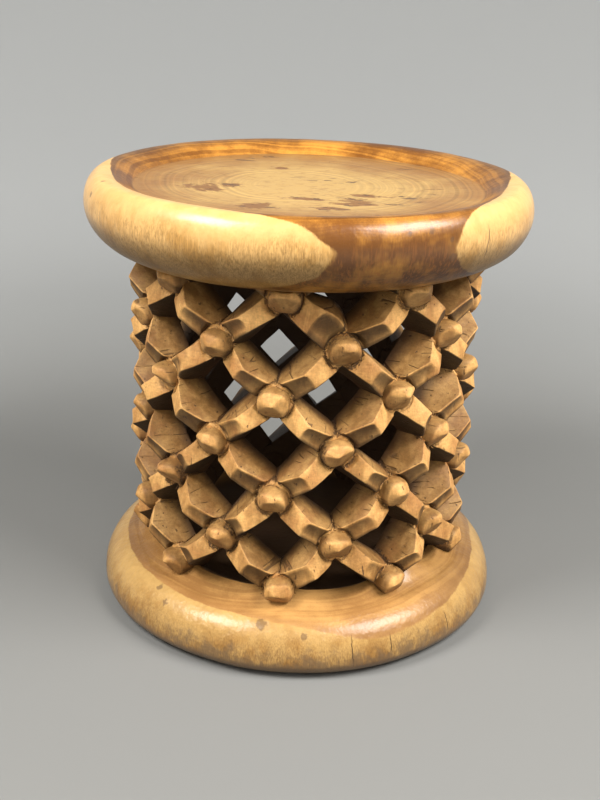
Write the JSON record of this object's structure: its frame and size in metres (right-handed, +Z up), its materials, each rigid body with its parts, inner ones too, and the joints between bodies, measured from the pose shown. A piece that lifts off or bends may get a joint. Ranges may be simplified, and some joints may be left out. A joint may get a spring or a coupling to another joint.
{
  "type": "carved stool",
  "caption": "Round carved stool with a dished seat, an openwork drum of crossing kneed bars and studs, and a round base, cut from one log.",
  "frame": {"origin": "centre of the underside, on the floor", "axes": "+Z up along the log's axis, -Y towards the front, where a stud of each odd row is, about 7 degrees to the left of the picture's camera"},
  "size_m": [0.35, 0.35, 0.355],
  "materials": {
    "wood": "oiled hardwood, glossy on the seat and base, matte on the lattice"
  },
  "bodies": {
    "root": {"stool": "wood"}
  },
  "joints": []
}
